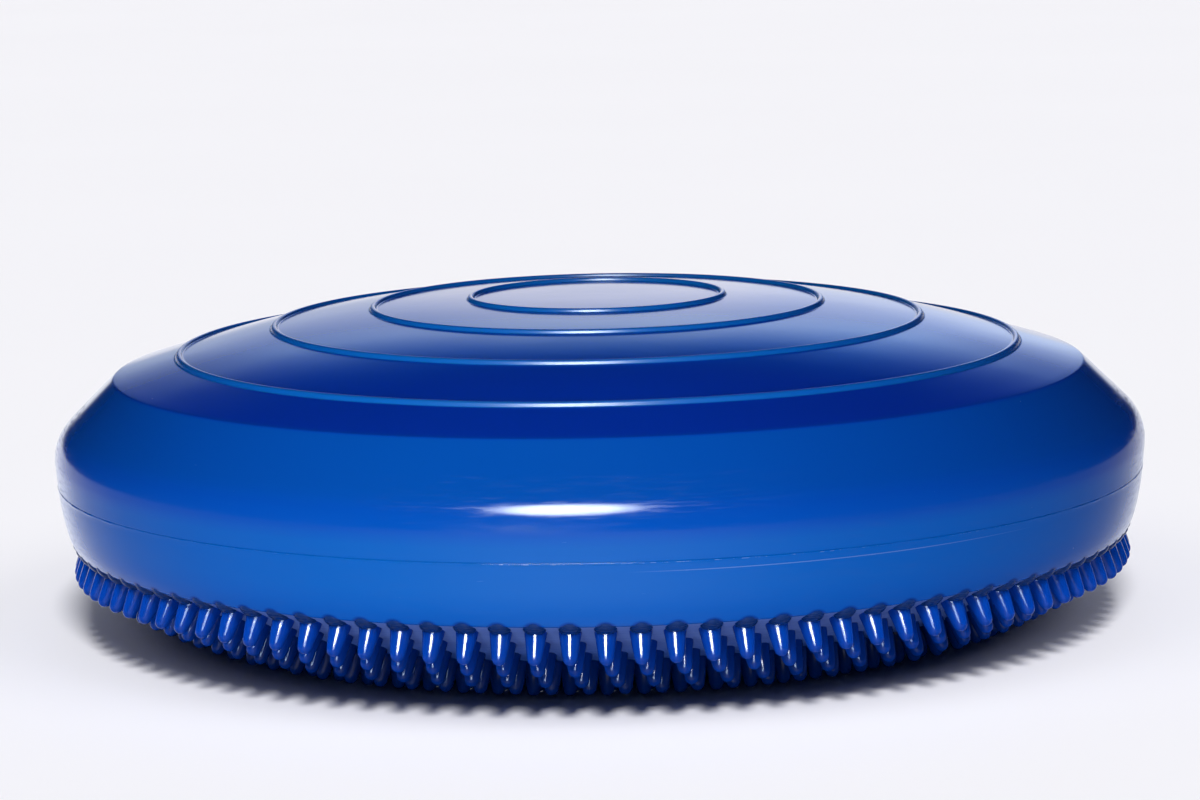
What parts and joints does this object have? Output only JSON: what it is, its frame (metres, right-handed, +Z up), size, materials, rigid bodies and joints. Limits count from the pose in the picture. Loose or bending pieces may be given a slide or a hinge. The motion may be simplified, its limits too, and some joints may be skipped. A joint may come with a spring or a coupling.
{
  "type": "balance disc",
  "caption": "Round air-filled balance cushion: ribbed dome above, bevelled rim, rounded nubs all over the underside, needle valve with a pull-out plug at the rear.",
  "frame": {"origin": "centre of the disc on the surface that the nub tips stand on", "axes": "+Z up along the disc's axis, +Y towards the valve at the rear, +X to the right"},
  "size_m": [0.33, 0.33, 0.0988],
  "materials": {
    "shell_pvc": "glossy soft PVC, royal blue",
    "shell_pvc_lower": "glossy soft PVC, royal blue",
    "valve_plastic": "satin plastic, dark blue",
    "valve_rubber": "matt black rubber",
    "plug_plastic": "satin plastic, dark blue"
  },
  "bodies": {
    "disc": {"upper_shell": "shell_pvc", "lower_shell": "shell_pvc_lower", "valve_housing": "valve_plastic", "valve_core": "valve_rubber"},
    "valve_plug": {"valve_plug": "plug_plastic"}
  },
  "joints": [
    {"name": "valve_plug_pull", "type": "slide", "parent": "disc", "child": "valve_plug", "axis": [0, 1, 0], "range_m": [0, 0.045]}
  ]
}
